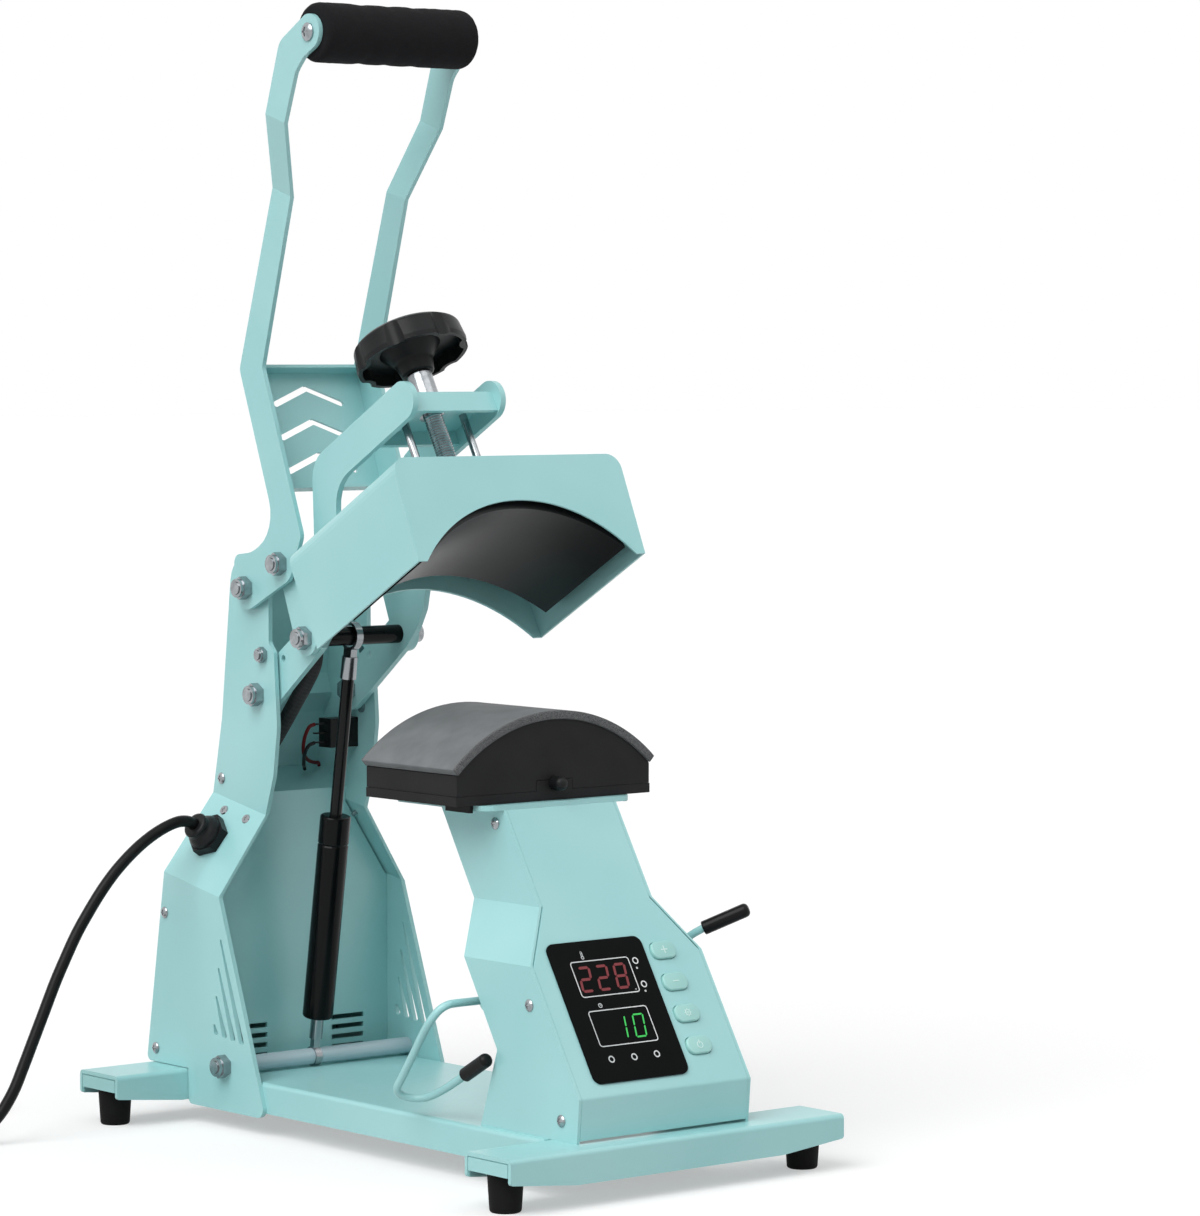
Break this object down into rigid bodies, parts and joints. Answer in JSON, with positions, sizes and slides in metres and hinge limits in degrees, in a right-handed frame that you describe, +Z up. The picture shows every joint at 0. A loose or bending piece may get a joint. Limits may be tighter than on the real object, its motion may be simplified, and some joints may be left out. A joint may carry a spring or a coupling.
{
  "type": "cap heat press",
  "caption": "Bench-top heat press for caps with a curved heated head on toggle arms, a curved padded lower platen on a pedestal and a control panel.",
  "frame": {"origin": "on the floor plane, under the middle of the press", "axes": "+X to the right seen from the operator's side, +Y towards the rear, +Z up"},
  "size_m": [0.4468, 0.5306, 0.7172],
  "materials": {
    "mint_powder_coat": "satin",
    "mint_button": "satin",
    "black_plastic": "satin",
    "black_vinyl": "satin",
    "black_enamel": "satin",
    "coated_aluminium": "satin",
    "bright_zinc": "bright",
    "pale_blue_tube": "satin",
    "black_rubber": "matt",
    "black_foam": "matt",
    "grey_silicone": "matt",
    "black_display": "gloss",
    "circuit_board": "satin",
    "red_rocker": "gloss",
    "wire_insulation": "satin",
    "cable_sleeve": "matt"
  },
  "bodies": {
    "base": {"front_crossbar": "mint_powder_coat", "rear_crossbar": "mint_powder_coat", "base_rail": "mint_powder_coat", "rubber_feet": "black_rubber", "tower_left_wall": "mint_powder_coat", "tower_right_wall": "mint_powder_coat", "compartment_panel": "mint_powder_coat", "rear_cover": "mint_powder_coat", "power_board": "circuit_board", "spring_shaft": "bright_zinc", "spring_shaft_sleeve": "pale_blue_tube", "tower_pivot_bolts": "bright_zinc", "stop_bolts": "bright_zinc", "pedestal_left_side": "mint_powder_coat", "pedestal_right_side": "mint_powder_coat", "pedestal_front_panel": "mint_powder_coat", "pedestal_top_plate": "mint_powder_coat", "display_window": "black_display", "control_board": "circuit_board", "switch_housing": "black_plastic", "switch_wires": "wire_insulation", "cable_gland": "black_plastic", "power_cord": "black_vinyl", "cord_coil": "black_vinyl", "mains_plug": "black_plastic", "panel_screws": "bright_zinc", "hold_wire_bracket": "mint_powder_coat", "heater_cable": "cable_sleeve"},
    "handle": {"left_handle_arm": "mint_powder_coat", "right_handle_arm": "mint_powder_coat", "handle_cross_panel": "mint_powder_coat", "grip_rod": "bright_zinc", "foam_grip": "black_foam", "handle_link_bolts": "bright_zinc"},
    "head_arms": {"left_head_arm": "mint_powder_coat", "right_head_arm": "mint_powder_coat", "arm_cross_bar": "mint_powder_coat", "cross_tube": "black_enamel", "bush_and_stud": "bright_zinc"},
    "toggle_links": {"left_toggle_link": "mint_powder_coat", "right_toggle_link": "mint_powder_coat"},
    "spring_cylinder": {"gas_spring_cylinder": "black_enamel"},
    "spring_rod": {"gas_spring_rod": "black_enamel"},
    "press_head": {"head_cover": "mint_powder_coat", "heated_platen": "coated_aluminium", "head_top_plate": "coated_aluminium", "guide_rods": "bright_zinc"},
    "screw_and_knob": {"pressure_screw": "bright_zinc", "star_knob": "black_plastic"},
    "lower_platen": {"platen_tray": "black_enamel", "platen_core": "black_enamel", "silicone_pad": "grey_silicone"},
    "lock_screw": {"platen_lock_screw": "black_plastic"},
    "plus_key": {"plus_button": "mint_button"},
    "minus_key": {"minus_button": "mint_button"},
    "set_key": {"set_button": "mint_button"},
    "power_key": {"power_button": "mint_button"},
    "rocker": {"switch_rocker": "red_rocker"},
    "hold_wire": {"cap_hold_wire": "mint_powder_coat", "hold_wire_caps": "black_vinyl"}
  },
  "joints": [
    {"name": "handle_swing", "type": "hinge", "parent": "base", "child": "handle", "pos_m": [0, 0.151, 0.347], "axis": [1, 0, 0], "range_deg": [0, 67]},
    {"name": "head_swing", "type": "hinge", "parent": "base", "child": "head_arms", "pos_m": [0, 0.147, 0.278], "axis": [1, 0, 0], "range_deg": [0, 29.3], "deforming": ["heater_cable"]},
    {"name": "link_swing", "type": "hinge", "parent": "head_arms", "child": "toggle_links", "pos_m": [0, 0.09446, 0.317], "axis": [1, 0, 0], "range_deg": [-57.62, 0]},
    {"name": "spring_tilt", "type": "hinge", "parent": "base", "child": "spring_cylinder", "pos_m": [0, 0.137, 0.041], "axis": [1, 0, 0], "range_deg": [0, 4.05]},
    {"name": "spring_stroke", "type": "slide", "parent": "spring_cylinder", "child": "spring_rod", "axis": [0, -0.1523, 0.9883], "range_m": [-0.0272, 0]},
    {"name": "head_height", "type": "slide", "parent": "head_arms", "child": "press_head", "axis": [0, 0.4894, 0.8721], "range_m": [0, 0.01]},
    {"name": "knob_turn", "type": "hinge", "parent": "press_head", "child": "screw_and_knob", "pos_m": [0, 0.00966, 0.4491], "axis": [0, 0.4894, 0.8721], "range_deg": [0, 2057.14]},
    {"name": "platen_slide", "type": "slide", "parent": "base", "child": "lower_platen", "axis": [0, -1, 0], "range_m": [0, 0.06]},
    {"name": "lock_screw_turn", "type": "hinge", "parent": "lower_platen", "child": "lock_screw", "pos_m": [0, -0.106, 0.2362], "axis": [0, 1, 0], "range_deg": [0, 360]},
    {"name": "rocker_tilt", "type": "hinge", "parent": "base", "child": "rocker", "pos_m": [0.0395, 0.152, 0.25], "axis": [0, 1, 0], "range_deg": [0, 12]},
    {"name": "wire_swing", "type": "hinge", "parent": "base", "child": "hold_wire", "pos_m": [0, -0.104, 0.1075], "axis": [1, 0, 0], "range_deg": [-20, 25]},
    {"name": "power_press", "type": "slide", "parent": "base", "child": "power_key", "axis": [0, 0.8514, -0.5246], "range_m": [0, 0.0012], "stiffness_N_per_m": 400},
    {"name": "set_press", "type": "slide", "parent": "base", "child": "set_key", "axis": [0, 0.8514, -0.5246], "range_m": [0, 0.0012], "stiffness_N_per_m": 400},
    {"name": "minus_press", "type": "slide", "parent": "base", "child": "minus_key", "axis": [0, 0.8514, -0.5246], "range_m": [0, 0.0012], "stiffness_N_per_m": 400},
    {"name": "plus_press", "type": "slide", "parent": "base", "child": "plus_key", "axis": [0, 0.8514, -0.5246], "range_m": [0, 0.0012], "stiffness_N_per_m": 400}
  ],
  "couplings": [
    {"joint": "head_swing", "follows": "handle_swing", "ratio": 0.43731},
    {"joint": "link_swing", "follows": "handle_swing", "ratio": -0.86},
    {"joint": "spring_tilt", "follows": "handle_swing", "ratio": 0.060448},
    {"joint": "spring_stroke", "follows": "handle_swing", "m_per_rad": -0.02326},
    {"joint": "knob_turn", "follows": "head_height", "rad_per_m": 3590.4}
  ]
}
